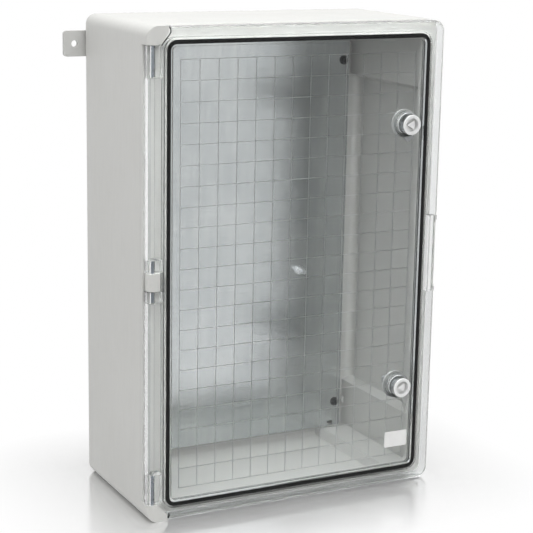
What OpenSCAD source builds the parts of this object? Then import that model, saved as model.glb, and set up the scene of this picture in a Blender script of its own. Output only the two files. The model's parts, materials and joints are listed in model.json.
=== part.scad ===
// Plastic electrical cabinet with a clear hinged door: a moulded base with a sealing rim, a steel
// mounting plate, wall brackets, a door that turns on three pins, and two quarter-turn key locks.
// Sizes are in millimetres. The cabinet stands on z = 0, its door faces -Y and +Z is up.

/* [Case] */
// Overall width of the base
case_w = 400; // [320:1:560]
// Overall height of the base
case_h = 600; // [500:1:800]
// Depth from the back face of the base to the front face of the door
case_d = 210; // [150:1:300]
// Wall thickness of the base
wall = 3.5; // [2.5:0.1:4.5]
// Radius of the base's corners and back edges
corner_r = 13; // [8:0.5:18]
// Bevel on the front rim of the base
rim_bevel = 1; // [0.5:0.1:2]

/* [Corner pillars] */
// Length of an inner corner pillar along the width of the case
pillar_w = 60; // [50:1:90]
// Height of the upper inner corner pillars
pillar_top_h = 93; // [60:1:120]
// Height of the lower inner corner pillars
pillar_bottom_h = 85; // [60:1:100]
// Thickness of an inner corner pillar in front of the wall
pillar_t = 12.5; // [8:0.5:13]
// Slant at the ends of an inner corner pillar
pillar_slant = 6; // [2:0.5:10]

/* [Door] */
// Thickness of the clear panel
panel_t = 3.5; // [2.5:0.1:4.5]
// Depth of the door from its front face to its rear edge
door_d = 18; // [16:0.5:22]
// Wall thickness of the rim turned back round the door
skirt_t = 3; // [2:0.1:4]
// Radius of the door's free corners
door_corner_r = 13; // [8:0.5:18]
// Rounding of the door's front edge
edge_r = 5; // [3:0.5:6]
// Gap between the door's rear edge and the rim of the base
door_gap = 0.7; // [0.5:0.1:1]
// Step from the top and bottom of the base to the door's edges
door_reveal = 1; // [0.5:0.1:3]
// Height of the middle of the finger grip
grip_z = 303; // [240:1:360]
// Length of the finger grip
grip_l = 92; // [60:1:120]
// Radius of the finger grip's hollow
grip_r = 8; // [6:0.5:10]

/* [Seal] */
// Distance from the hinge side of the case to the middle of the seal
seal_hinge_inset = 27; // [26.5:0.5:34]
// Distance from the free side of the case to the middle of the seal
seal_free_inset = 22.5; // [20:0.5:30]
// Distance from the top and bottom of the case to the middle of the seal
seal_end_inset = 19; // [17:0.5:28]
// Corner radius of the seal's middle line
seal_r = 10; // [8:0.5:16]
// Width of the seal
seal_w = 5; // [4:0.1:6.5]
// Thickness of the seal
seal_t = 5; // [3:0.1:6]
// Thickness of the two walls of the seal's channel
channel_t = 2.6; // [1:0.1:3]
// Depth of the outer wall of the seal's channel behind the panel
channel_outer_d = 10.5; // [8:0.1:11.5]
// Thickness of the base's sealing rib
rib_t = 2.4; // [1.5:0.1:3]
// Distance from the middle of the seal to the edge of the base's opening
opening_lip = 1.6; // [1.6:0.1:7.5]

/* [Measuring grid] */
// Number of columns in the grid engraved inside the panel
grid_columns = 13; // [6:1:16]
// Number of rows in the grid
grid_rows = 21; // [10:1:26]
// Margin from the sides of the case to the grid
grid_side_margin = 41.5; // [38:0.5:60]
// Margin from the top and bottom of the case to the grid
grid_end_margin = 39; // [34:0.5:60]
// Width of a grid line
grid_line_w = 0.8; // [0.4:0.1:1.5]
// Depth of a grid line
grid_line_d = 0.5; // [0.2:0.1:1]

/* [Hinge] */
// Diameter of the hinge pins
pin_d = 4; // [3:0.1:5]
// Length of a hinge pin
pin_l = 50; // [40:1:60]
// Length of a hinge pin's seat in a corner cap
pin_seat = 13; // [8:1:16]
// Height of the corner caps on the base
cap_h = 22; // [19:1:30]
// Reach of a corner cap past the pin's axis at its inner edge
cap_reach_inner = 4; // [3.5:0.1:6]
// Reach of a corner cap past the pin's axis at the edge of the case
cap_reach_outer = 17; // [10:0.5:20]
// Height of the slanted part of a corner cap's edge
cap_slant_h = 14.5; // [10:0.5:18]
// Flat part of the hinge edge past the pin's axis, before its front corner turns
hinge_flat = 2; // [0.5:0.1:2.2]
// Height of the middle knuckle
knuckle_h = 22; // [14:1:30]
// Radius of the middle knuckle
knuckle_r = 8; // [6:0.1:8.5]
// Reach of the middle knuckle past the pin's axis towards the door
knuckle_reach = 7; // [5:0.1:7.5]
// Reach of the knuckle's neck past the pin's axis towards the outside
knuckle_neck = 3.5; // [3:0.1:6]
// Width of the opening in the door beside the knuckle
knuckle_side_gap = 4.7; // [4:0.1:4.8]

/* [Locks] */
// Distance from the free side of the case to the locks
lock_inset = 54; // [48:0.5:70]
// Height of the lower lock
lock_low_z = 134; // [90:1:200]
// Distance between the two locks
lock_pitch = 339; // [200:1:360]
// Diameter of a lock's head
head_d = 26; // [24:0.5:32]
// Height of a lock's head in front of the door
head_h = 17; // [14:0.5:22]
// Diameter of the key recess
recess_d = 17; // [14:0.5:20]
// Depth of the key recess
recess_d_in = 8; // [6:0.5:9]
// Radius of the triangular key post, from its axis to a corner
post_r = 6.4; // [4:0.1:7]
// Diameter of a lock's shank
shank_d = 20; // [18:0.5:22]
// Diameter of a lock's turning core
core_d = 12; // [10:0.5:14]
// Height of the clear collar round a lock's head
collar_h = 5; // [4:0.5:9]
// Length of a lock's tongue from its axis
tongue_l = 34; // [32:0.5:35]
// Width of a lock's tongue
tongue_w = 13; // [12:0.5:13.5]
// Thickness of a lock's tongue
tongue_t = 3; // [2:0.1:5]

/* [Mounting plate] */
// Margin from the sides of the case to the plate
plate_side_margin = 27; // [24:0.5:45]
// Margin from the bottom of the case to the plate
plate_bottom_margin = 17.5; // [17:0.5:50]
// Margin from the top of the case to the plate
plate_top_margin = 32.5; // [18:0.5:60]
// Thickness of the plate
plate_t = 2; // [1.5:0.1:3]
// Height of the bosses that carry the plate
plate_boss_h = 12; // [10:0.5:20]
// Distance from the plate's sides to its fixing screws
plate_fix_side = 8.5; // [8:0.5:30]
// Distance from the plate's ends to its fixing screws
plate_fix_end = 35; // [20:0.5:60]
// Distance from the middle of the case to the earth stud
earth_x = 104; // [60:1:120]
// Height of the earth stud
earth_z = 248; // [120:1:400]

/* [Wall brackets] */
// Length of a wall bracket
bracket_l = 53; // [48:0.5:70]
// Height of a wall bracket
bracket_h = 32; // [24:0.5:40]
// Thickness of a wall bracket
bracket_t = 5; // [4:0.1:8]
// Reach of a wall bracket past the side of the case
bracket_reach = 25; // [20:0.5:32]
// Distance from a bracket's outer end to its wall hole
wall_hole_inset = 14; // [10:0.5:16]
// Diameter of a wall hole
wall_hole_d = 8.5; // [6:0.1:10]
// Distance from the side of the case to the bracket screws
bracket_fix_inset = 14; // [12.5:0.5:16]
// Distance from the top of the case to the upper brackets
bracket_drop = 38; // [30:0.5:80]
// Height of the lower bracket fixings
bracket_rise = 50; // [30:0.5:80]

/* [Hidden] */

$fn = 72;
// Overlap of solids that are joined, and overshoot of cuts
joint = 1;

// Fits and clearances
pin_run = 0.06;
pin_fit = 0.02;
pin_end_gap = 0.5;
core_run = 0.05;
insert_fit = 0.02;
screw_fit = 0.03;
hinge_gap = 0.6;
swing_gap = 0.6;
seal_gap = 0.3;
seal_side_gap = 0.1;
tongue_gap = 0.7;
core_end_gap = 0.2;
hole_gap = 0.2;

// Levels along the depth, measured from the back face
half_w = case_w / 2;
rim_z = case_d - door_d - door_gap;
flange_z = rim_z - wall;
door_back_z = case_d - door_d;
panel_z = case_d - panel_t;
rib_z = panel_z - seal_t - seal_gap;
plate_z = wall + plate_boss_h;
mid_y = case_h / 2;

// Hinge axis, in the middle of the door's depth
hinge_r = door_d / 2;
pin_x = hinge_r - half_w;
pin_z = case_d - hinge_r;
bearing_w = 10.5;
bearing_end = 1;
end_bearing_l = pin_l - pin_seat - hinge_gap + bearing_end;
mid_bearing_l = (pin_l - knuckle_h) / 2 - hinge_gap + bearing_end;

// Middle line of the seal
seal_x0 = seal_hinge_inset - half_w;
seal_x1 = half_w - seal_free_inset;
seal_y0 = seal_end_inset;
seal_y1 = case_h - seal_end_inset;
channel_in = seal_w / 2 + seal_side_gap;
channel_out = channel_in + channel_t;
channel_inner_d = seal_t + 1;

// Grid
grid_x0 = grid_side_margin - half_w;
grid_y0 = grid_end_margin;
grid_pitch_x = (case_w - 2 * grid_side_margin) / grid_columns;
grid_pitch_y = (case_h - 2 * grid_end_margin) / grid_rows;

// Locks
lock_x = half_w - lock_inset;
upper_lock_y = lock_low_z + lock_pitch;
collar_gap = 1;
collar_t = 2;
collar_d = head_d + 2 * (collar_gap + collar_t);
lock_seal_t = 1.5;
head_round = 2;
head_z = case_d + head_h;
recess_z = head_z - recess_d_in;
nut_t = 7;
nut_r = shank_d / 2 + 5.5;
nut_flange_r = shank_d / 2 + 7.5;
nut_flange_t = 2.5;
shank_z = panel_z - nut_t - 3;
disc_t = 1.8;
disc_gap = 0.4;
post_below = 1;
tongue_z1 = flange_z - tongue_gap;
tongue_z0 = tongue_z1 - tongue_t;
// Turn of a tongue from hanging down, half way to its place behind the rim
tongue_turn = 45;
drive_w = 8;
lock_screw_d = 5;
lock_screw_l = 12;
lock_screw_head_d = 10;
lock_screw_head_h = 3;

// Mounting plate and its fixings
plate_x = half_w - plate_side_margin;
plate_y0 = plate_bottom_margin;
plate_y1 = case_h - plate_top_margin;
plate_r = 4;
plate_fix_x = plate_x - plate_fix_side;
plate_fix_ys = [plate_y0 + plate_fix_end, plate_y1 - plate_fix_end];
plate_slot_w = 8;
plate_slot_h = 5.5;
plate_slot_side = 15;
plate_slot_rise = 1.8;
screw_d = 5;
insert_d = 7.2;
insert_l = 9;
boss_d = 12;
plate_screw_head_d = 10;
plate_screw_head_h = 3.4;
washer_d = 12;
washer_t = 1;
earth_d = 6;
earth_l = 16;
earth_nut_r = 5.8;
earth_nut_t = 5;

// Wall brackets
bracket_fix_x = half_w - bracket_fix_inset;
bracket_ys = [case_h - bracket_drop, bracket_rise];
bracket_r = 4;
bracket_boss_d = 10.6;
bracket_boss_h = 6.5;
bracket_insert_l = 8;
csk_d = 10;
csk_h = 2.6;
bracket_screw_l = bracket_t + bracket_insert_l - 1;
socket_r = 2.3;
socket_h = 1.8;

// Colours
base_grey = "#c6c8c6";
clear = [0.86, 0.9, 0.91, 0.35];
black = "#1c1c1c";
zinc = "#9aa2a6";
dark_steel = "#4a4d50";
brass = "#c2a14d";
lock_white = "#e2e3e1";
chrome = "#c9cccd";

// Turns a shape that was drawn lying on its back upright, with its front facing -Y
module stand() {
    translate([0, case_d / 2, 0]) rotate([90, 0, 0]) children();
}

// Rectangle with round corners
module rounded(x0, y0, x1, y1, r) {
    translate([x0 + r, y0]) square([x1 - x0 - 2 * r, y1 - y0]);
    translate([x0, y0 + r]) square([x1 - x0, y1 - y0 - 2 * r]);
    for (x = [x0 + r, x1 - r], y = [y0 + r, y1 - r]) translate([x, y]) circle(r);
}

// Sweeps a profile round a rounded rectangle: its x runs outwards from the outline, its y is the depth
module sweep(x0, y0, x1, y1, r) {
    side_x = x1 - x0 - 2 * r;
    side_y = y1 - y0 - 2 * r;
    translate([x1, y1 - r, 0]) rotate([90, 0, 0]) linear_extrude(side_y) children();
    translate([x0, y0 + r, 0]) rotate([90, 0, 180]) linear_extrude(side_y) children();
    translate([x0 + r, y1, 0]) rotate([90, 0, 90]) linear_extrude(side_x) children();
    translate([x1 - r, y0, 0]) rotate([90, 0, -90]) linear_extrude(side_x) children();
    corners = [[x1 - r, y1 - r], [x0 + r, y1 - r], [x0 + r, y0 + r], [x1 - r, y0 + r]];
    for (i = [0 : 3]) {
        translate(corners[i]) rotate([0, 0, 90 * i]) rotate_extrude(angle = 90) translate([r, 0]) children();
    }
}

// Box with round corners and round back edges, open to the front at depth d
module round_backed_box(w, h, d, r) {
    x = w / 2 - r;
    translate([0, 0, r]) linear_extrude(d - r) rounded(-w / 2, 0, w / 2, h, r);
    translate([-x, r, 0]) cube([2 * x, h - 2 * r, r + joint]);
    for (s = [-x, x]) translate([s, r, r]) rotate([-90, 0, 0]) cylinder(r = r, h = h - 2 * r);
    for (y = [r, h - r]) translate([-x, y, r]) rotate([0, 90, 0]) cylinder(r = r, h = 2 * x);
    for (s = [-x, x], y = [r, h - r]) translate([s, y, r]) sphere(r);
}

// The seal's middle line grown outwards by g
module seal_outline(g) {
    rounded(seal_x0 - g, seal_y0 - g, seal_x1 + g, seal_y1 + g, max(1, seal_r + g));
}

module seal_ring(g0, g1, z0, z1) {
    translate([0, 0, z0]) linear_extrude(z1 - z0) difference() {
        seal_outline(g1);
        seal_outline(g0);
    }
}

// A rod along the hinge axis from y0 to y1
module hinge_rod(r, y0, y1) {
    translate([pin_x, y0, pin_z]) rotate([-90, 0, 0]) cylinder(r = r, h = y1 - y0);
}

// Extrudes a profile, drawn with the hinge axis at its origin and its y to the front, from y0 to y1
module hinge_extrude(y0, y1) {
    translate([pin_x, y1, pin_z]) rotate([90, 0, 0]) linear_extrude(y1 - y0) children();
}

// Outline of a hinge piece left of the pin's axis: round to the back, with a tighter corner to the front
module hinge_round(r) {
    intersection() {
        circle(r);
        translate([-r, -r]) square([r, 2 * r]);
    }
    translate([-r, 0]) square([r, hinge_flat]);
    translate([-hinge_flat, 0]) square([hinge_flat, r]);
    translate([-hinge_flat, hinge_flat]) circle(r - hinge_flat);
}

// Repeats a shape of the top corner at the bottom corner
module both_ends() {
    children();
    translate([0, case_h, 0]) mirror([0, 1, 0]) children();
}

module at_plate_fixings() {
    for (x = [-plate_fix_x, plate_fix_x], y = plate_fix_ys) translate([x, y, 0]) children();
}

module at_bracket_fixings(heights) {
    for (x = [-bracket_fix_x, bracket_fix_x], y = heights) translate([x, y, 0]) children();
}

module at_locks() {
    for (y = [lock_low_z, upper_lock_y]) translate([lock_x, y, 0]) children();
}

// Corner cap of the base that carries the end of the door's hinge
module hinge_cap() {
    cap_y = case_h - cap_h;
    intersection() {
        translate([0, 0, rim_z - joint]) linear_extrude(door_d + door_gap + joint) intersection() {
            polygon([
                [-half_w, cap_y], [pin_x + cap_reach_inner, cap_y],
                [pin_x + cap_reach_outer, cap_y + cap_slant_h],
                [pin_x + cap_reach_outer, case_h], [-half_w, case_h]
            ]);
            rounded(-half_w, 0, half_w, case_h, corner_r);
        }
        hinge_extrude(cap_y - joint, case_h + joint) {
            hinge_round(hinge_r);
            translate([-joint, -2 * hinge_r]) square([cap_reach_outer + 2 * joint, 3 * hinge_r]);
            translate([-hinge_r, -2 * hinge_r]) square([2 * hinge_r, 2 * hinge_r]);
        }
    }
}

// Middle knuckle of the base, round on the outside, square towards the door, on a narrower neck
module hinge_knuckle() {
    hinge_extrude(mid_y - knuckle_h / 2, mid_y + knuckle_h / 2) {
        depth = pin_z - rim_z + joint;
        hinge_round(knuckle_r);
        translate([-knuckle_neck, -depth]) square([knuckle_neck + knuckle_reach, depth]);
        translate([-joint, -depth]) square([knuckle_reach + joint, depth + knuckle_r]);
    }
}

// Thick corner of height h inside the base, drawn for the top right corner
module corner_pillar(h) {
    x = half_w - pillar_w;
    y = case_h - h;
    face_x = half_w - wall - pillar_t;
    face_y = case_h - wall - pillar_t;
    linear_extrude(case_d) polygon([
        [half_w, y], [half_w - wall, y], [face_x, y + pillar_slant], [face_x, face_y],
        [x + pillar_slant, face_y], [x, case_h - wall], [x, case_h], [half_w, case_h]
    ]);
}

// Hollow of the base
module base_hollow() {
    inner_w = case_w - 2 * wall;
    inner_h = case_h - 2 * wall;
    difference() {
        translate([0, wall, wall]) round_backed_box(inner_w, inner_h, flange_z - wall, corner_r - wall);
        for (side = [0, 1]) mirror([side, 0, 0]) {
            corner_pillar(pillar_top_h);
            translate([0, case_h, 0]) mirror([0, 1, 0]) corner_pillar(pillar_bottom_h);
        }
    }
}

module base_shell() {
    difference() {
        union() {
            round_backed_box(case_w, case_h, rim_z, corner_r);
            seal_ring(-rib_t / 2, rib_t / 2, rim_z - joint, rib_z);
            both_ends() hinge_cap();
            hinge_knuckle();
        }
        base_hollow();
        translate([0, 0, flange_z - joint]) linear_extrude(wall + 2 * joint) seal_outline(-opening_lip);
        difference() {
            sweep(-half_w, 0, half_w, case_h, corner_r) {
                polygon([[joint, rim_z + joint], [-rim_bevel - joint, rim_z + joint], [joint, rim_z - rim_bevel - joint]]);
            }
            both_ends() translate([-case_w, case_h - cap_h, 0]) cube([half_w + seal_hinge_inset, case_h, case_d]);
        }
    }
}

module base_box() color(base_grey) stand() {
    difference() {
        union() {
            base_shell();
            at_plate_fixings() translate([0, 0, wall - joint]) cylinder(d = boss_d, h = plate_boss_h + joint);
            at_bracket_fixings(bracket_ys) {
                translate([0, 0, wall - joint]) cylinder(d = bracket_boss_d, h = bracket_boss_h + joint);
            }
        }
        at_plate_fixings() {
            translate([0, 0, plate_z - insert_l]) cylinder(d = insert_d + 2 * insert_fit, h = insert_l + joint);
        }
        at_bracket_fixings(bracket_ys) {
            translate([0, 0, -joint]) cylinder(d = insert_d + 2 * insert_fit, h = bracket_insert_l + joint);
        }
        both_ends() {
            hinge_rod(pin_d / 2 + pin_fit, case_h - cap_h - joint, case_h - cap_h + pin_seat + pin_end_gap);
        }
        hinge_rod(pin_d / 2 + pin_fit, mid_y - knuckle_h / 2 - joint, mid_y + knuckle_h / 2 + joint);
    }
}

module mounting_plate() color(zinc) stand() {
    translate([0, 0, plate_z]) linear_extrude(plate_t) difference() {
        rounded(-plate_x, plate_y0, plate_x, plate_y1, plate_r);
        at_plate_fixings() circle(d = screw_d + 2 * hole_gap);
        slot_x = plate_x - plate_slot_side;
        for (x = [-slot_x, slot_x]) {
            translate([x - plate_slot_w / 2, plate_y0 + plate_slot_rise]) square([plate_slot_w, plate_slot_h]);
        }
    }
}

// Threaded sleeve whose open end is at z = 0 and which reaches back by l
module insert_sleeve(l) {
    translate([0, 0, -l]) difference() {
        cylinder(d = insert_d, h = l);
        translate([0, 0, -joint]) cylinder(d = screw_d + 2 * screw_fit, h = l + 2 * joint);
    }
}

module plate_inserts() color(brass) stand() {
    at_plate_fixings() translate([0, 0, plate_z]) insert_sleeve(insert_l);
}

module plate_washers() color(dark_steel) stand() {
    at_plate_fixings() translate([0, 0, plate_z + plate_t]) difference() {
        cylinder(d = washer_d, h = washer_t);
        translate([0, 0, -joint]) cylinder(d = screw_d + 2 * hole_gap, h = washer_t + 2 * joint);
    }
}

module plate_screws() color(dark_steel) stand() {
    seat = plate_z + plate_t + washer_t;
    shank_l = plate_t + washer_t + insert_l - joint;
    at_plate_fixings() translate([0, 0, seat]) difference() {
        union() {
            cylinder(d1 = plate_screw_head_d, d2 = plate_screw_head_d - 3, h = plate_screw_head_h);
            translate([0, 0, -shank_l]) cylinder(d = screw_d, h = shank_l + joint);
        }
        translate([0, 0, plate_screw_head_h - socket_h]) cylinder(r = socket_r, h = socket_h + joint, $fn = 6);
    }
}

module earth_stud() color(zinc) stand() {
    translate([earth_x, earth_z, plate_z + plate_t]) {
        cylinder(d = earth_d, h = earth_l - 1);
        translate([0, 0, earth_l - 1]) cylinder(d1 = earth_d, d2 = earth_d - 1.4, h = 1);
    }
}

module earth_washer() color(zinc) stand() {
    translate([earth_x, earth_z, plate_z + plate_t]) difference() {
        cylinder(d = washer_d + 1, h = washer_t);
        translate([0, 0, -joint]) cylinder(d = earth_d + 2 * screw_fit, h = washer_t + 2 * joint);
    }
}

module earth_nut() color(zinc) stand() {
    translate([earth_x, earth_z, plate_z + plate_t + washer_t]) difference() {
        intersection() {
            cylinder(r = earth_nut_r, h = earth_nut_t, $fn = 6);
            cylinder(r1 = earth_nut_r + earth_nut_t, r2 = earth_nut_r - 0.6, h = earth_nut_t);
        }
        translate([0, 0, -joint]) cylinder(d = earth_d + 2 * screw_fit, h = earth_nut_t + 2 * joint);
    }
}

// Bracket on the left of the back face, drawn for the left side
module wall_bracket() {
    y = case_h - bracket_drop;
    x0 = -half_w - bracket_reach;
    translate([0, 0, -bracket_t]) difference() {
        linear_extrude(bracket_t) difference() {
            rounded(x0, y - bracket_h / 2, x0 + bracket_l, y + bracket_h / 2, bracket_r);
            translate([x0 + wall_hole_inset, y]) circle(d = wall_hole_d);
            translate([-bracket_fix_x, y]) circle(d = screw_d + 2 * hole_gap);
        }
        translate([-bracket_fix_x, y, 0]) cylinder(d1 = csk_d + 2 * hole_gap, d2 = screw_d + 2 * hole_gap, h = csk_h);
        translate([-bracket_fix_x, y, -joint]) cylinder(d = csk_d + 2 * hole_gap, h = joint);
    }
}

module wall_bracket_left() color(base_grey) stand() wall_bracket();

module wall_bracket_right() color(base_grey) stand() mirror([1, 0, 0]) wall_bracket();

module bracket_inserts() color(brass) stand() {
    at_bracket_fixings(bracket_ys) mirror([0, 0, 1]) insert_sleeve(bracket_insert_l);
}

module bracket_screws() color(zinc) stand() {
    at_bracket_fixings([bracket_ys[0]]) translate([0, 0, -bracket_t]) difference() {
        union() {
            cylinder(d1 = csk_d, d2 = screw_d, h = csk_h);
            translate([0, 0, csk_h]) cylinder(d = screw_d, h = bracket_screw_l - csk_h);
        }
        translate([0, 0, -joint]) cylinder(r = socket_r, h = socket_h + joint, $fn = 6);
    }
}

// Hinge pin with bevelled ends
module hinge_pin(y0) {
    bevel = pin_d / 8;
    translate([pin_x, y0, pin_z]) rotate([-90, 0, 0]) rotate_extrude() polygon([
        [0, 0], [pin_d / 2 - bevel, 0], [pin_d / 2, bevel], [pin_d / 2, pin_l - bevel],
        [pin_d / 2 - bevel, pin_l], [0, pin_l]
    ]);
}

module hinge_pin_top() color(zinc) stand() hinge_pin(case_h - cap_h + pin_seat - pin_l);

module hinge_pin_middle() color(zinc) stand() hinge_pin(mid_y - pin_l / 2);

module hinge_pin_bottom() color(zinc) stand() hinge_pin(cap_h - pin_seat);

// Section through the door's rim: the panel's edge, the wall turned back and the round front corner
module door_rim_profile() {
    difference() {
        union() {
            translate([-skirt_t, door_back_z]) square([skirt_t, door_d]);
            translate([joint - door_corner_r, panel_z]) square([door_corner_r - joint, panel_t]);
        }
        difference() {
            translate([-edge_r, case_d - edge_r]) square(edge_r + joint);
            translate([-edge_r, case_d - edge_r]) circle(edge_r);
        }
    }
}

// Flat panel with its rim, from the hinge axis to the free side
module door_pan() {
    y0 = door_reveal;
    y1 = case_h - door_reveal;
    difference() {
        union() {
            sweep(-half_w, y0, half_w, y1, door_corner_r) door_rim_profile();
            inset = door_corner_r - 2 * joint;
            translate([inset - half_w, y0 + inset, panel_z]) {
                cube([case_w - 2 * inset, y1 - y0 - 2 * inset, panel_t]);
            }
        }
        translate([-half_w - joint, -joint, 0]) cube([pin_x + half_w + joint, case_h + 2 * joint, case_d + joint]);
    }
}

// Round hinge edge of the door: a half tube, solid where a pin runs in it
module door_hinge_edge() {
    y1 = case_h - cap_h - hinge_gap;
    knuckle_end = mid_y + knuckle_h / 2 + hinge_gap;
    hinge_extrude(case_h - y1, y1) difference() {
        hinge_round(hinge_r);
        hinge_round(hinge_r - skirt_t);
        translate([0, -2 * hinge_r]) square(4 * hinge_r);
    }
    both_ends() {
        door_bearing(y1 - end_bearing_l, y1);
        door_bearing(knuckle_end, knuckle_end + mid_bearing_l);
    }
}

module door_bearing(y0, y1) {
    hinge_extrude(y0, y1) {
        hinge_round(hinge_r);
        translate([-joint, -hinge_r]) square([bearing_w + joint, 2 * hinge_r]);
    }
}

// Space beside a corner cap that the door leaves free, so that it swings past the cap
module door_cap_cut() {
    y0 = case_h - cap_h - hinge_gap;
    panel_reach = sqrt(pow(cap_reach_inner + swing_gap, 2) + pow(hinge_r, 2) - pow(hinge_r - panel_t, 2));
    rim_reach = sqrt(pow(cap_reach_outer + swing_gap, 2) + pow(hinge_r, 2));
    linear_extrude(case_d + joint) polygon([
        [-half_w - joint, y0], [pin_x + panel_reach, y0], [pin_x + rim_reach, y0 + cap_slant_h],
        [pin_x + rim_reach, case_h + joint], [-half_w - joint, case_h + joint]
    ]);
}

module door_knuckle_cut() {
    h = knuckle_h + 2 * hinge_gap;
    translate([-half_w - joint, mid_y - h / 2, 0]) {
        cube([pin_x + half_w + knuckle_reach + knuckle_side_gap + joint, h, case_d + joint]);
    }
}

// Bar with round ends that hollows out the finger grip
module grip_hollow() {
    end = grip_l / 2 - grip_r;
    translate([half_w + grip_r / 3, grip_z, case_d + grip_r / 3]) {
        translate([0, -end, 0]) rotate([-90, 0, 0]) cylinder(r = grip_r, h = 2 * end);
        for (y = [-end, end]) translate([0, y, 0]) sphere(grip_r);
    }
}

// Solid corner behind the finger grip
module grip_backing() {
    d = grip_r + panel_t;
    h = grip_l + 2 * panel_t;
    translate([half_w - d, grip_z - h / 2, case_d - d]) cube([d - joint, h, d - joint]);
}

module grid_lines() {
    grid_w = grid_columns * grid_pitch_x;
    grid_h = grid_rows * grid_pitch_y;
    for (i = [0 : grid_columns]) {
        translate([grid_x0 + i * grid_pitch_x - grid_line_w / 2, grid_y0]) square([grid_line_w, grid_h]);
    }
    for (i = [0 : grid_rows]) {
        translate([grid_x0, grid_y0 + i * grid_pitch_y - grid_line_w / 2]) square([grid_w, grid_line_w]);
    }
}

module door_panel() color(clear) stand() {
    difference() {
        union() {
            difference() {
                union() {
                    door_pan();
                    door_hinge_edge();
                }
                both_ends() door_cap_cut();
                door_knuckle_cut();
            }
            seal_ring(channel_in, channel_out, panel_z - channel_outer_d, panel_z + joint);
            seal_ring(-channel_out, -channel_in, panel_z - channel_inner_d, panel_z + joint);
            grip_backing();
            at_locks() translate([0, 0, panel_z]) difference() {
                cylinder(d = collar_d, h = panel_t + collar_h);
                translate([0, 0, panel_t]) cylinder(d = collar_d - 2 * collar_t, h = collar_h + joint);
            }
        }
        both_ends() {
            hinge_rod(pin_d / 2 + pin_run, case_h - cap_h + pin_seat - pin_l - pin_end_gap, case_h);
        }
        pin_reach = pin_l / 2 + pin_end_gap;
        hinge_rod(pin_d / 2 + pin_run, mid_y - pin_reach, mid_y + pin_reach);
        grip_hollow();
        at_locks() translate([0, 0, panel_z - joint]) cylinder(d = shank_d + 2 * hole_gap, h = panel_t + 2 * joint);
        translate([0, 0, panel_z - joint]) linear_extrude(grid_line_d + joint) grid_lines();
    }
}

module door_seal() color(black) stand() {
    seal_ring(-seal_w / 2, seal_w / 2, panel_z - seal_t, panel_z);
}

// Fixed body of a lock: a head with the key recess, and a shank through the door
module lock_body(y) {
    translate([lock_x, y, 0]) rotate_extrude() difference() {
        union() {
            translate([0, shank_z]) square([shank_d / 2, case_d + lock_seal_t - shank_z + joint]);
            translate([0, case_d + lock_seal_t]) square([head_d / 2, head_h - lock_seal_t - head_round]);
            translate([0, head_z - head_round - joint]) square([head_d / 2 - head_round, head_round + joint]);
            translate([head_d / 2 - head_round, head_z - head_round]) circle(head_round);
        }
        translate([-joint, shank_z - joint]) square([core_d / 2 + core_run + joint, head_z - shank_z]);
        translate([-joint, recess_z]) square([recess_d / 2 + joint, recess_d_in + joint]);
    }
}

module lock_seal(y) {
    translate([lock_x, y, case_d]) difference() {
        cylinder(d = head_d - 1, h = lock_seal_t);
        translate([0, 0, -joint]) cylinder(d = shank_d + 2 * hole_gap, h = lock_seal_t + 2 * joint);
    }
}

module lock_nut(y) {
    translate([lock_x, y, panel_z - nut_t]) difference() {
        union() {
            cylinder(r = nut_r, h = nut_t, $fn = 6);
            translate([0, 0, nut_t - nut_flange_t]) cylinder(r = nut_flange_r, h = nut_flange_t);
        }
        translate([0, 0, -joint]) cylinder(d = shank_d + 2 * screw_fit, h = nut_t + 2 * joint);
    }
}

// Turning core of a lock: a triangular key post on a disc, a round shaft and a square drive
module lock_core(y) {
    disc_z = recess_z + core_end_gap;
    translate([lock_x, y, 0]) difference() {
        union() {
            translate([0, 0, tongue_z1]) cylinder(d = core_d, h = disc_z - tongue_z1 + joint);
            translate([0, 0, disc_z]) cylinder(d = recess_d - 2 * disc_gap, h = disc_t);
            rotate([0, 0, 180]) translate([0, 0, disc_z]) cylinder(r = post_r, h = head_z - post_below - disc_z, $fn = 3);
            translate([-drive_w / 2, -drive_w / 2, tongue_z0]) cube([drive_w, drive_w, tongue_t + joint]);
        }
        translate([0, 0, tongue_z0 - joint]) cylinder(d = lock_screw_d + 2 * screw_fit, h = lock_screw_l + joint);
    }
}

// Tongue of a lock in an open position, clear of the rim
module lock_tongue(y) {
    translate([lock_x, y, tongue_z0]) linear_extrude(tongue_t) difference() {
        rotate(tongue_turn) union() {
            circle(d = tongue_w);
            translate([-tongue_w / 2, -tongue_l + tongue_w / 4]) square([tongue_w, tongue_l - tongue_w / 4]);
            translate([-tongue_w / 4, -tongue_l]) square([tongue_w / 2, tongue_w]);
            for (s = [-1, 1]) translate([s * tongue_w / 4, -tongue_l + tongue_w / 4]) circle(tongue_w / 4);
        }
        square(drive_w + 2 * screw_fit, center = true);
    }
}

module lock_screw(y) {
    shank_l = lock_screw_l - joint;
    translate([lock_x, y, tongue_z0 - lock_screw_head_h]) difference() {
        union() {
            cylinder(d = lock_screw_head_d, h = lock_screw_head_h);
            cylinder(d = lock_screw_d, h = lock_screw_head_h + shank_l);
        }
        translate([0, 0, -joint]) cylinder(r = socket_r, h = socket_h + joint, $fn = 6);
    }
}

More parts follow.
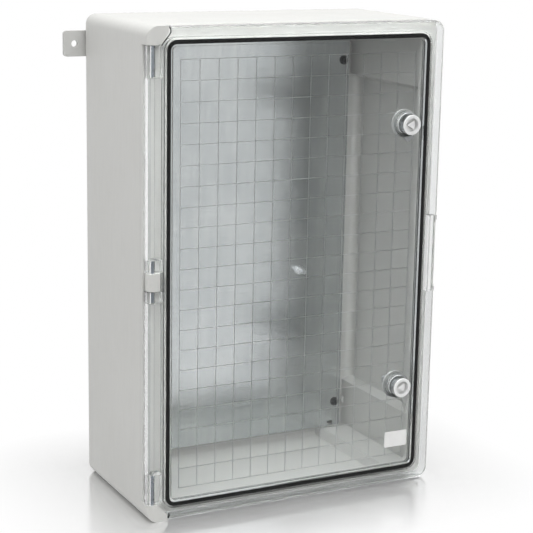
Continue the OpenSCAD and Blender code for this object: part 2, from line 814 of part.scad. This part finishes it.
module upper_lock_body() color(chrome) stand() lock_body(upper_lock_y);
module upper_lock_seal() color(black) stand() lock_seal(upper_lock_y);
module upper_lock_nut() color(lock_white) stand() lock_nut(upper_lock_y);
module upper_lock_core() color(chrome) stand() lock_core(upper_lock_y);
module upper_lock_tongue() color(zinc) stand() lock_tongue(upper_lock_y);
module upper_lock_screw() color(zinc) stand() lock_screw(upper_lock_y);
module lower_lock_body() color(chrome) stand() lock_body(lock_low_z);
module lower_lock_seal() color(black) stand() lock_seal(lock_low_z);
module lower_lock_nut() color(lock_white) stand() lock_nut(lock_low_z);
module lower_lock_core() color(chrome) stand() lock_core(lock_low_z);
module lower_lock_tongue() color(zinc) stand() lock_tongue(lock_low_z);
module lower_lock_screw() color(zinc) stand() lock_screw(lock_low_z);

base_box();
mounting_plate();
plate_inserts();
plate_screws();
plate_washers();
earth_stud();
earth_washer();
earth_nut();
wall_bracket_left();
wall_bracket_right();
bracket_inserts();
bracket_screws();
hinge_pin_top();
hinge_pin_middle();
hinge_pin_bottom();
door_panel();
door_seal();
upper_lock_body();
upper_lock_seal();
upper_lock_nut();
upper_lock_core();
upper_lock_tongue();
upper_lock_screw();
lower_lock_body();
lower_lock_seal();
lower_lock_nut();
lower_lock_core();
lower_lock_tongue();
lower_lock_screw();
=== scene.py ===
import json
import math

import bpy
from mathutils import Matrix, Vector


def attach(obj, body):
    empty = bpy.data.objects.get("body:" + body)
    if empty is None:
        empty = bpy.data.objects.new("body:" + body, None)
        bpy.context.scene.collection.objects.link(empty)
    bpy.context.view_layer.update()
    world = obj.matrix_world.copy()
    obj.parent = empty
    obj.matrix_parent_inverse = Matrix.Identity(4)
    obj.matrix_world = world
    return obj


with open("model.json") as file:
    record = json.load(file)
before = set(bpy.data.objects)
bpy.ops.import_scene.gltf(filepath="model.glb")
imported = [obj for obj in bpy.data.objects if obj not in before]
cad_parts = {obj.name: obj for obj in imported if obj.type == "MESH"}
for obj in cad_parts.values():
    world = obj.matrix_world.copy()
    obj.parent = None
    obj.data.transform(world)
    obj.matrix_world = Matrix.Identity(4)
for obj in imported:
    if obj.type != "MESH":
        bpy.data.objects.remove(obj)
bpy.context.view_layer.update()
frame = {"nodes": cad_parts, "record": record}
scene = bpy.context.scene
scene.view_settings.view_transform = "Standard"


# Places on the part that the finishes need, in metres

DOOR_MIDDLE_Z = 0.3
GRID_HALF_WIDTH, GRID_HALF_HEIGHT = 0.166, 0.27
GROOVE_FRONT_Y, GROOVE_BACK_Y = -0.1030, -0.10155
BORDER_LEFT_X, BORDER_RIGHT_X = -0.1755, 0.1800
BORDER_HALF_HEIGHT = 0.2835
LOCK_X = 0.146
LOCKS_MIDDLE_Z, LOCK_FROM_MIDDLE = 0.3035, 0.1695
LOCK_FOOT_Y = -0.1105
KEY_RECESS_RADIUS = 0.0095
CASE_HALF_FOOTPRINT = (0.2, 0.105, 0.0)

# Radius that the light sees on moulded edges
SOFT_EDGE = 0.0006

# Turns of the lines that working leaves on metal, which run along X
QUARTER_TURN = math.radians(90.0)
UPRIGHT = (0.0, QUARTER_TURN, 0.0)
FRONT_TO_BACK = (0.0, 0.0, QUARTER_TURN)
SLANTED = (0.0, 0.0, 0.6)

WHITE = (1.0, 1.0, 1.0, 1.0)


# Node helpers

def add(tree, kind, values=None, **settings):
    """A new node with its settings and the plain values of its sockets."""
    node = tree.nodes.new(kind)
    for name, value in settings.items():
        setattr(node, name, value)
    for name, value in (values or {}).items():
        node.inputs[name].default_value = value
    return node


def maths(tree, operation, a, b=0.0):
    """A Math node; a and b are sockets or numbers."""
    node = add(tree, "ShaderNodeMath", operation=operation)
    for slot, value in zip(node.inputs, (a, b)):
        if isinstance(value, (int, float)):
            slot.default_value = value
        else:
            tree.links.new(value, slot)
    return node.outputs[0]


def weighted(tree, a, share_a, b, share_b):
    """Sum of two values, each times its share."""
    return maths(tree, "ADD", maths(tree, "MULTIPLY", a, share_a), maths(tree, "MULTIPLY", b, share_b))


def vector_maths(tree, operation, vector, other=(0.0, 0.0, 0.0)):
    """A Vector Math node on a socket and a plain vector; returns its outputs."""
    node = add(tree, "ShaderNodeVectorMath", operation=operation)
    tree.links.new(vector, node.inputs[0])
    node.inputs[1].default_value = other
    return node.outputs


def split(tree, vector):
    """The X, Y and Z of a vector."""
    node = add(tree, "ShaderNodeSeparateXYZ")
    tree.links.new(vector, node.inputs["Vector"])
    return node.outputs


def mapped(tree, vector, **values):
    """A vector turned by Rotation or drawn out by Scale."""
    node = add(tree, "ShaderNodeMapping", values)
    tree.links.new(vector, node.inputs["Vector"])
    return node.outputs["Vector"]


def blend(tree, mask, low, high):
    """Colour that goes from low to high with the mask; each is a colour or a socket."""
    node = add(tree, "ShaderNodeMix", data_type="RGBA")
    tree.links.new(mask, node.inputs["Factor"])
    colours = [slot for slot in node.inputs if slot.type == "RGBA"]
    for slot, value in zip(colours, (low, high)):
        if isinstance(value, tuple):
            slot.default_value = value + (1.0,)
        else:
            tree.links.new(value, slot)
    return next(slot for slot in node.outputs if slot.type == "RGBA")


def spread(tree, value, low, high, to_low=0.0, to_high=1.0):
    """Maps a value from one span to another and keeps it inside."""
    ends = {"From Min": low, "From Max": high, "To Min": to_low, "To Max": to_high}
    node = add(tree, "ShaderNodeMapRange", ends)
    tree.links.new(value, node.inputs["Value"])
    return node.outputs["Result"]


def noise(tree, vector, scale, detail=3.0, roughness=0.5):
    """Noise texture; scale is a socket."""
    node = add(tree, "ShaderNodeTexNoise", {"Detail": detail, "Roughness": roughness})
    tree.links.new(vector, node.inputs["Vector"])
    tree.links.new(scale, node.inputs["Scale"])
    return node.outputs["Fac"]


def voronoi(tree, vector, scale):
    """Voronoi cells; returns the node's outputs."""
    node = add(tree, "ShaderNodeTexVoronoi", {"Scale": scale})
    tree.links.new(vector, node.inputs["Vector"])
    return node.outputs


def mix_shaders(tree, first, second):
    """A Mix Shader node between two shaders; its Fac is left to the caller."""
    node = add(tree, "ShaderNodeMixShader")
    tree.links.new(first, node.inputs[1])
    tree.links.new(second, node.inputs[2])
    return node


def effect_group(name, inputs, outputs):
    """Empty node group with inputs (title, start value) and outputs; returns it and its two ends."""
    group = bpy.data.node_groups.new(name, "ShaderNodeTree")
    sockets = group.interface
    sockets.new_socket("Vector", in_out="INPUT", socket_type="NodeSocketVector")
    for title, value in inputs:
        sockets.new_socket(title, in_out="INPUT", socket_type="NodeSocketFloat").default_value = value
    for title in outputs:
        sockets.new_socket(title, in_out="OUTPUT", socket_type="NodeSocketFloat")
    return group, add(group, "NodeGroupInput"), add(group, "NodeGroupOutput")


# Effects that the finishes use

def build_moulded_grain():
    """Moulded plastic: the fine grain of the tool, and broad tone from the way the melt flowed."""
    inputs = [("Grain", 1600.0), ("Flow", 7.0)]
    group, start, end = effect_group("moulded_grain", inputs, ["Tone", "Height"])
    vector, grain = start.outputs["Vector"], start.outputs["Grain"]
    fine = noise(group, vector, grain, 2.0, 0.6)
    broad = noise(group, vector, start.outputs["Flow"], 4.0, 0.55)
    speckle = noise(group, vector, maths(group, "MULTIPLY", grain, 0.35), 1.0)
    tone = weighted(group, broad, 0.75, speckle, 0.25)
    group.links.new(spread(group, tone, 0.36, 0.64), end.inputs["Tone"])
    group.links.new(fine, end.inputs["Height"])
    return group


def build_handling_marks():
    """Rubs and faint smears from handling, as a mask that is mostly dark."""
    inputs = [("Size", 14.0), ("Cover", 0.35)]
    group, start, end = effect_group("handling_marks", inputs, ["Marks"])
    vector, size = start.outputs["Vector"], start.outputs["Size"]
    patch = noise(group, vector, size, 5.0, 0.62)
    streak_vector = mapped(group, vector, Rotation=(0.3, 0.2, 0.5), Scale=(1.0, 1.0, 0.12))
    streaks = noise(group, streak_vector, maths(group, "MULTIPLY", size, 18.0))
    both = maths(group, "MULTIPLY", patch, maths(group, "ADD", 0.5, streaks))
    threshold = maths(group, "SUBTRACT", 0.75, start.outputs["Cover"])
    raised = maths(group, "MULTIPLY", maths(group, "SUBTRACT", both, threshold), 4.0)
    clamped = add(group, "ShaderNodeClamp")
    group.links.new(raised, clamped.inputs["Value"])
    group.links.new(clamped.outputs["Result"], end.inputs["Marks"])
    return group


def build_drawn_metal():
    """Lines that rolling, drawing or turning leaves on metal, along the mapped X direction."""
    group, start, end = effect_group("drawn_metal", [("Fineness", 900.0)], ["Tone", "Height"])
    fineness = start.outputs["Fineness"]
    along = mapped(group, start.outputs["Vector"], Scale=(0.015, 1.0, 1.0))
    fine = noise(group, along, fineness, 3.0, 0.7)
    wide = noise(group, along, maths(group, "MULTIPLY", fineness, 0.06), 2.0)
    tone = weighted(group, fine, 0.45, wide, 0.55)
    group.links.new(spread(group, tone, 0.35, 0.65), end.inputs["Tone"])
    group.links.new(fine, end.inputs["Height"])
    return group


def build_door_zones():
    """Masks of the door: the matt grid lines cut into its back, and the border outside the seal."""
    group, start, end = effect_group("door_zones", [], ["Lines", "Border"])
    place = split(group, start.outputs["Vector"])
    from_middle = maths(group, "ABSOLUTE", maths(group, "SUBTRACT", place["Z"], DOOR_MIDDLE_Z))
    across = maths(group, "ABSOLUTE", place["X"])
    in_width = maths(group, "LESS_THAN", across, GRID_HALF_WIDTH)
    in_height = maths(group, "LESS_THAN", from_middle, GRID_HALF_HEIGHT)
    past_back = maths(group, "LESS_THAN", place["Y"], GROOVE_BACK_Y)
    behind_front = maths(group, "GREATER_THAN", place["Y"], GROOVE_FRONT_Y)
    in_grid = maths(group, "MULTIPLY", in_width, in_height)
    sunk = maths(group, "MULTIPLY", past_back, behind_front)
    group.links.new(maths(group, "MULTIPLY", in_grid, sunk), end.inputs["Lines"])
    left = maths(group, "LESS_THAN", place["X"], BORDER_LEFT_X)
    right = maths(group, "GREATER_THAN", place["X"], BORDER_RIGHT_X)
    ends = maths(group, "GREATER_THAN", from_middle, BORDER_HALF_HEIGHT)
    border = maths(group, "MAXIMUM", maths(group, "MAXIMUM", left, right), ends)
    group.links.new(border, end.inputs["Border"])
    return group


moulded_grain = build_moulded_grain()
handling_marks = build_handling_marks()
drawn_metal = build_drawn_metal()
door_zones = build_door_zones()


# Finishes

def new_material(name):
    """An empty material; returns it, its node tree and its output."""
    material = bpy.data.materials.new(name)
    material.use_nodes = True
    tree = material.node_tree
    tree.nodes.clear()
    return material, tree, add(tree, "ShaderNodeOutputMaterial")


class Finish:
    """A material with its Principled shader, its object coordinates and short ways to dress it."""

    def __init__(self, name, **sockets):
        self.material, self.tree, self.output = new_material(name)
        values = {title.replace("_", " "): value for title, value in sockets.items()}
        self.shader = add(self.tree, "ShaderNodeBsdfPrincipled", values)
        self.tree.links.new(self.shader.outputs["BSDF"], self.output.inputs["Surface"])
        self.vector = add(self.tree, "ShaderNodeTexCoord").outputs["Object"]

    def mapped(self, **values):
        """Object coordinates turned or drawn out, for effects that run one way."""
        return mapped(self.tree, self.vector, **values)

    def effect(self, group, vector=None, **values):
        """Outputs of a shared effect, with its own values."""
        node = add(self.tree, "ShaderNodeGroup", values, node_tree=group)
        self.tree.links.new(vector or self.vector, node.inputs["Vector"])
        return node.outputs

    def colour(self, socket):
        """Sets the base colour."""
        self.tree.links.new(socket, self.shader.inputs["Base Color"])

    def roughness(self, mask, low, high):
        """Roughness that goes from low to high with the mask."""
        value = spread(self.tree, mask, 0.0, 1.0, low, high)
        self.tree.links.new(value, self.shader.inputs["Roughness"])

    def bump(self, height, depth, edge=0.0):
        """Surface relief; edge is the radius of softly rounded edges."""
        node = add(self.tree, "ShaderNodeBump", {"Distance": depth})
        self.tree.links.new(height, node.inputs["Height"])
        if edge:
            soft = add(self.tree, "ShaderNodeBevel", {"Radius": edge}, samples=4)
            self.tree.links.new(soft.outputs["Normal"], node.inputs["Normal"])
        self.tree.links.new(node.outputs["Normal"], self.shader.inputs["Normal"])


def moulded_plastic(name, dark, light, rough, grain, depth, **sockets):
    """Opaque moulded plastic: flow tone in the colour, rubs in the gloss, grain in the surface."""
    finish = Finish(name, **sockets)
    body = finish.effect(moulded_grain, Grain=grain)
    marks = finish.effect(handling_marks)["Marks"]
    tone = blend(finish.tree, body["Tone"], dark, light)
    smear = maths(finish.tree, "MULTIPLY", marks, 0.10)
    smeared = tuple(0.9 * channel for channel in dark)
    finish.colour(blend(finish.tree, smear, tone, smeared))
    finish.roughness(marks, *rough)
    finish.bump(body["Height"], depth, SOFT_EDGE)
    return finish.material


def worked_metal(name, dark, light, rough, fineness, turn, depth):
    """Bare or plated metal with the lines of its working, and dull patches where it was touched."""
    finish = Finish(name, Metallic=1.0)
    lines = finish.effect(drawn_metal, finish.mapped(Rotation=turn), Fineness=fineness)
    marks = finish.effect(handling_marks, Size=40.0)["Marks"]
    tone = blend(finish.tree, lines["Tone"], dark, light)
    dulled = maths(finish.tree, "MULTIPLY", marks, 0.4)
    finish.colour(blend(finish.tree, dulled, tone, dark))
    finish.roughness(marks, *rough)
    finish.bump(lines["Height"], depth)
    return finish.material


def galvanised_sheet():
    """Zinc-coated sheet: faint crystals, streaks up the sheet and stains.

    A fine grain across the sheet smears its reflections upward.
    """
    finish = Finish("galvanised_sheet", Metallic=1.0)
    tree = finish.tree
    flake = add(tree, "ShaderNodeRGBToBW")
    tree.links.new(voronoi(tree, finish.vector, 90.0)["Color"], flake.inputs["Color"])
    lines = finish.effect(drawn_metal, finish.mapped(Rotation=UPRIGHT), Fineness=240.0)
    marks = finish.effect(handling_marks, Size=9.0, Cover=0.38)["Marks"]
    mixed = weighted(tree, flake.outputs["Val"], 0.25, lines["Tone"], 0.75)
    tone = blend(tree, mixed, (0.585, 0.610, 0.616), (0.685, 0.706, 0.708))
    stain = maths(tree, "MULTIPLY", marks, 0.5)
    finish.colour(blend(tree, stain, tone, (0.50, 0.53, 0.54)))
    finish.roughness(weighted(tree, mixed, 0.5, marks, 0.5), 0.05, 0.14)
    drawn_out = finish.mapped(Scale=(0.15, 1.0, 1.0))
    grain = finish.effect(drawn_metal, drawn_out, Fineness=4000.0)
    finish.bump(grain["Height"], 0.00008)
    return finish.material


def clear_plastic():
    """Polished clear plastic of the door with its matt engraved grid and a darker border, which is painted
    shade; lamps shine through it.
    """
    finish = Finish("clear_plastic", Transmission_Weight=1.0, IOR=1.5, Specular_Tint=(0.3, 0.3, 0.3, 1.0))
    tree = finish.tree
    body = finish.effect(moulded_grain, Grain=120.0, Flow=5.0)
    marks = finish.effect(handling_marks, Size=20.0, Cover=0.3)["Marks"]
    zones = finish.effect(door_zones)
    clear = blend(tree, body["Tone"], (0.965, 0.972, 0.972), (0.98, 0.985, 0.985))
    # The border outside the seal is tinted darker: painted shade on the base rim seen through it.
    clear_with_shaded_border = blend(tree, zones["Border"], clear, (0.915, 0.92, 0.92))
    finish.colour(blend(tree, zones["Lines"], clear_with_shaded_border, (0.58, 0.59, 0.59)))
    rubbed = maths(tree, "MULTIPLY", marks, 0.02)
    finish.roughness(maths(tree, "MAXIMUM", rubbed, zones["Lines"]), 0.0, 0.5)
    through = add(tree, "ShaderNodeBsdfTransparent", {"Color": (0.90, 0.915, 0.915, 1.0)})
    which = mix_shaders(tree, finish.shader.outputs["BSDF"], through.outputs["BSDF"])
    path = add(tree, "ShaderNodeLightPath")
    tree.links.new(path.outputs["Is Shadow Ray"], which.inputs["Fac"])
    tree.links.new(which.outputs["Shader"], finish.output.inputs["Surface"])
    return finish.material


def plated_casting():
    """Plated lock casting: the front is satin and pale, the turned side polished; the key recess and the
    foot are painted pale as well, which is painted light on places that sit in shade.
    """
    finish = Finish("plated_die_casting")
    tree = finish.tree
    facing = split(tree, add(tree, "ShaderNodeTexCoord").outputs["Normal"])
    front = spread(tree, facing["Y"], -0.5, -0.8)
    place = split(tree, finish.vector)
    # The foot is painted pale: painted light on a part that stands in shade.
    foot_painted_light = maths(tree, "GREATER_THAN", place["Y"], LOCK_FOOT_Y)
    from_middle = maths(tree, "ABSOLUTE", maths(tree, "SUBTRACT", place["Z"], LOCKS_MIDDLE_Z))
    upward = maths(tree, "SUBTRACT", from_middle, LOCK_FROM_MIDDLE)
    across = maths(tree, "SUBTRACT", place["X"], LOCK_X)
    across_squared = maths(tree, "MULTIPLY", across, across)
    upward_squared = maths(tree, "MULTIPLY", upward, upward)
    apart_squared = maths(tree, "ADD", across_squared, upward_squared)
    # The key recess is painted pale: painted light against the shade inside it.
    recess_painted_light = maths(tree, "LESS_THAN", apart_squared, KEY_RECESS_RADIUS ** 2)
    satin_front_and_painted_light = maths(tree, "MAXIMUM", front, maths(tree, "MAXIMUM", foot_painted_light, recess_painted_light))
    lines = finish.effect(drawn_metal, finish.mapped(Rotation=UPRIGHT), Fineness=700.0)
    marks = finish.effect(handling_marks, Size=40.0)["Marks"]
    side = blend(tree, lines["Tone"], (0.40, 0.41, 0.42), (0.56, 0.57, 0.58))
    face = blend(tree, lines["Tone"], (0.76, 0.765, 0.76), (0.84, 0.845, 0.84))
    # The pale colour is the satin front's own colour, and painted light on the foot and in the key recess.
    finish.colour(blend(tree, satin_front_and_painted_light, side, face))
    tree.links.new(spread(tree, satin_front_and_painted_light, 0.0, 1.0, 1.0, 0.1), finish.shader.inputs["Metallic"])
    worn = maths(tree, "MULTIPLY", marks, 0.25)
    finish.roughness(maths(tree, "MAXIMUM", satin_front_and_painted_light, worn), 0.12, 0.42)
    finish.bump(lines["Height"], 0.00001)
    return finish.material


def foamed_rubber():
    """Black foam rubber with a skin of small closed cells."""
    finish = Finish("foamed_rubber", Specular_IOR_Level=0.35)
    body = finish.effect(moulded_grain, Grain=700.0, Flow=30.0)
    finish.colour(blend(finish.tree, body["Tone"], (0.010, 0.010, 0.010), (0.022, 0.022, 0.022)))
    finish.roughness(body["Tone"], 0.5, 0.75)
    finish.bump(voronoi(finish.tree, finish.vector, 1500.0)["Distance"], 0.0001)
    return finish.material


def label_film():
    """Blank white label film with a faint tooth."""
    finish = Finish("label_film")
    body = finish.effect(moulded_grain, Grain=2500.0, Flow=60.0)
    finish.colour(blend(finish.tree, body["Tone"], (0.80, 0.80, 0.79), (0.85, 0.85, 0.84)))
    finish.roughness(body["Tone"], 0.35, 0.5)
    finish.bump(body["Height"], 0.00002)
    return finish.material


finishes = {
    "base_grey": moulded_plastic(
        "light_grey_case", (0.575, 0.575, 0.555), (0.615, 0.615, 0.595),
        rough=(0.38, 0.52), grain=1600.0, depth=0.00004),
    "bracket_grey": moulded_plastic(
        "light_grey_bracket", (0.53, 0.53, 0.515), (0.575, 0.575, 0.56),
        rough=(0.42, 0.58), grain=1100.0, depth=0.00006),
    "clear_door": clear_plastic(),
    "lock_white": moulded_plastic(
        "pale_lock_plastic", (0.72, 0.725, 0.715), (0.79, 0.795, 0.785),
        rough=(0.28, 0.42), grain=2200.0, depth=0.00003),
    "lock_metal": plated_casting(),
    "tongue_steel": worked_metal(
        "dull_zinc", (0.42, 0.43, 0.435), (0.52, 0.53, 0.535),
        rough=(0.45, 0.6), fineness=1100.0, turn=SLANTED, depth=0.00002),
    "black_rubber": foamed_rubber(),
    "galvanised_plate": galvanised_sheet(),
    "zinc_steel": worked_metal(
        "bright_zinc", (0.66, 0.67, 0.68), (0.80, 0.81, 0.82),
        rough=(0.22, 0.40), fineness=1400.0, turn=SLANTED, depth=0.00002),
    "pin_steel": worked_metal(
        "drawn_steel", (0.20, 0.22, 0.245), (0.30, 0.32, 0.35),
        rough=(0.22, 0.36), fineness=2000.0, turn=UPRIGHT, depth=0.00001),
    "dark_screw": moulded_plastic(
        "blackened_steel", (0.035, 0.036, 0.038), (0.06, 0.062, 0.065),
        rough=(0.30, 0.45), grain=2600.0, depth=0.00002, Metallic=0.6),
    "brass_insert": worked_metal(
        "turned_brass", (0.62, 0.44, 0.17), (0.78, 0.58, 0.27),
        rough=(0.20, 0.34), fineness=1500.0, turn=FRONT_TO_BACK, depth=0.00002),
}
label_white = label_film()

for part in frame["record"]["subparts"]:
    mesh = frame["nodes"][part["node"]].data
    mesh.materials.clear()
    mesh.materials.append(finishes[part["material_slot"]])


# Modelling helpers

def start_piece(name):
    """Names the primitive that was just added and opens it for editing."""
    piece = bpy.context.object
    piece.name = name
    piece.data.name = name
    bpy.ops.object.transform_apply(location=True, rotation=True, scale=True)
    bpy.ops.object.mode_set(mode="EDIT")
    return piece


def pick(piece, kind, test):
    """Selects in edit mode the edges (by their ends) or the faces (by normal) that pass the test."""
    bpy.ops.mesh.select_mode(type=kind)
    bpy.ops.mesh.select_all(action="DESELECT")
    bpy.ops.object.mode_set(mode="OBJECT")
    mesh = piece.data
    if kind == "EDGE":
        for edge in mesh.edges:
            edge.select = test(*(mesh.vertices[i].co for i in edge.vertices))
    else:
        for face in mesh.polygons:
            face.select = test(face.normal)
    bpy.ops.object.mode_set(mode="EDIT")


def finish_piece(piece, material, body):
    """Closes the edit, gives the piece its finish and puts it on its body."""
    bpy.ops.object.mode_set(mode="OBJECT")
    piece.data.materials.clear()
    piece.data.materials.append(material)
    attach(piece, body)


# Blank label on the door

def make_label():
    """Thin bare label with round corners and a slightly raised face."""
    low, high = Vector((0.132, -0.10518, 0.0495)), Vector((0.165, -0.10498, 0.0705))
    corner_radius, face_inset, face_rise = 0.0015, 0.0001, 0.00003
    bpy.ops.object.select_all(action="DESELECT")
    bpy.ops.mesh.primitive_cube_add(size=1.0, location=(low + high) / 2, scale=high - low)
    label = start_piece("blank_label")
    pick(label, "EDGE", lambda a, b: abs(a.y - b.y) > 0.0001)
    bpy.ops.mesh.bevel(offset=corner_radius, segments=6)
    pick(label, "FACE", lambda normal: normal.y < -0.9)
    bpy.ops.mesh.inset(thickness=face_inset)
    bpy.ops.transform.translate(value=(0.0, -face_rise, 0.0))
    finish_piece(label, label_white, "door")


make_label()


# Studio

def white_table():
    """Glossy white table that fades to pure white away from the case."""
    gloss_share, gloss_roughness, matte_level = 0.60, 0.16, 0.66
    fade_start, fade_end = 0.015, 0.16
    material, tree, output = new_material("white_table")
    matte = add(tree, "ShaderNodeBsdfDiffuse", {"Color": (matte_level, matte_level, matte_level, 1.0)})
    gloss = add(tree, "ShaderNodeBsdfGlossy", {"Color": WHITE, "Roughness": gloss_roughness})
    table = mix_shaders(tree, matte.outputs["BSDF"], gloss.outputs["BSDF"])
    table.inputs["Fac"].default_value = gloss_share
    white = add(tree, "ShaderNodeEmission", {"Color": WHITE, "Strength": 1.0})
    place = vector_maths(tree, "ABSOLUTE", add(tree, "ShaderNodeTexCoord").outputs["Object"])
    past_case = vector_maths(tree, "SUBTRACT", place["Vector"], CASE_HALF_FOOTPRINT)
    outside = vector_maths(tree, "MAXIMUM", past_case["Vector"])
    reach = vector_maths(tree, "LENGTH", outside["Vector"])
    fade = spread(tree, reach["Value"], fade_start, fade_end)
    path = add(tree, "ShaderNodeLightPath")
    both = mix_shaders(tree, table.outputs["Shader"], white.outputs["Emission"])
    tree.links.new(maths(tree, "MULTIPLY", fade, path.outputs["Is Camera Ray"]), both.inputs["Fac"])
    tree.links.new(both.outputs["Shader"], output.inputs["Surface"])
    return material


def make_floor():
    """Round table top under the case."""
    bpy.ops.object.select_all(action="DESELECT")
    bpy.ops.mesh.primitive_circle_add(vertices=96, radius=1.1, fill_type="NGON")
    floor = bpy.context.object
    floor.name = "studio_floor"
    floor.data.materials.append(white_table())


def make_world(level):
    """White surroundings, at full white where they are seen or mirrored.

    Their soft light on the object has its own level, and is weaker from the front.
    """
    front_share, low_white = 0.65, 0.85
    world = bpy.data.worlds.new("white_studio")
    world.use_nodes = True
    tree = world.node_tree
    tree.nodes.clear()
    path = add(tree, "ShaderNodeLightPath").outputs
    way = split(tree, add(tree, "ShaderNodeTexCoord").outputs["Generated"])
    above_horizon = spread(tree, way["Z"], -0.05, 0.15, low_white, 1.0)
    behind = spread(tree, way["Y"], -0.3, 0.0)
    room = maths(tree, "MAXIMUM", above_horizon, behind)
    shown = maths(tree, "MAXIMUM", path["Is Camera Ray"], room)
    mirrored = maths(tree, "MAXIMUM", path["Is Glossy Ray"], path["Is Transmission Ray"])
    direct = maths(tree, "LESS_THAN", path["Diffuse Depth"], 0.5)
    seen = maths(tree, "MULTIPLY", maths(tree, "MAXIMUM", path["Is Camera Ray"], mirrored), direct)
    soft = spread(tree, way["Y"], -1.0, 0.2, front_share * level, level)
    strength = add(tree, "ShaderNodeMix", data_type="FLOAT")
    tree.links.new(soft, strength.inputs["A"])
    tree.links.new(shown, strength.inputs["B"])
    tree.links.new(seen, strength.inputs["Factor"])
    sky = add(tree, "ShaderNodeBackground", {"Color": WHITE})
    tree.links.new(strength.outputs["Result"], sky.inputs["Strength"])
    tree.links.new(sky.outputs["Background"], add(tree, "ShaderNodeOutputWorld").inputs["Surface"])
    scene.world = world


def make_lamp(name, place, target, size, power):
    """Soft rectangular lamp, in metres and watts.

    It is sampled directly only: rays that meet it by chance would be lost in the clear door.
    """
    lamp = bpy.data.lights.new(name, "AREA")
    lamp.shape = "RECTANGLE"
    lamp.size, lamp.size_y = size
    lamp.energy = power
    lamp.cycles.use_multiple_importance_sampling = False
    holder = bpy.data.objects.new(name, lamp)
    scene.collection.objects.link(holder)
    holder.location = place
    holder.rotation_euler = (Vector(target) - Vector(place)).to_track_quat("-Z", "Y").to_euler()
    holder.visible_camera = False
    holder.visible_transmission = False


def make_camera():
    """Camera at the place solved from the photograph."""
    place = (-0.9098, -1.7972, 0.7473)
    heading, rise, roll = (math.radians(angle) for angle in (27.09, -13.04, 1.03))
    level = math.cos(rise)
    ahead = Vector((math.sin(heading) * level, math.cos(heading) * level, math.sin(rise)))
    right = Vector((math.cos(heading), -math.sin(heading), 0.0))
    up = right.cross(ahead)
    across = math.cos(roll) * right + math.sin(roll) * up
    above = math.cos(roll) * up - math.sin(roll) * right
    lens = bpy.data.cameras.new("photo_camera")
    lens.sensor_width = 36.0
    lens.lens = 108.5
    camera = bpy.data.objects.new("photo_camera", lens)
    scene.collection.objects.link(camera)
    turn = Matrix((across, above, -ahead)).transposed().to_4x4()
    camera.matrix_world = Matrix.Translation(place) @ turn
    scene.camera = camera


make_floor()
make_world(level=0.56)
make_lamp("overhead_softbox", place=(0.0, -0.45, 2.2), target=(0.0, 0.0, 0.4), size=(1.8, 1.4), power=32.5)
make_lamp("left_softbox", place=(-2.3, -0.15, 1.0), target=(0.0, 0.0, 0.3), size=(1.4, 1.8), power=8.5)
make_lamp("front_softbox", place=(-0.5, -2.6, 1.7), target=(0.0, 0.0, 0.3), size=(1.4, 1.8), power=18.0)
make_camera()
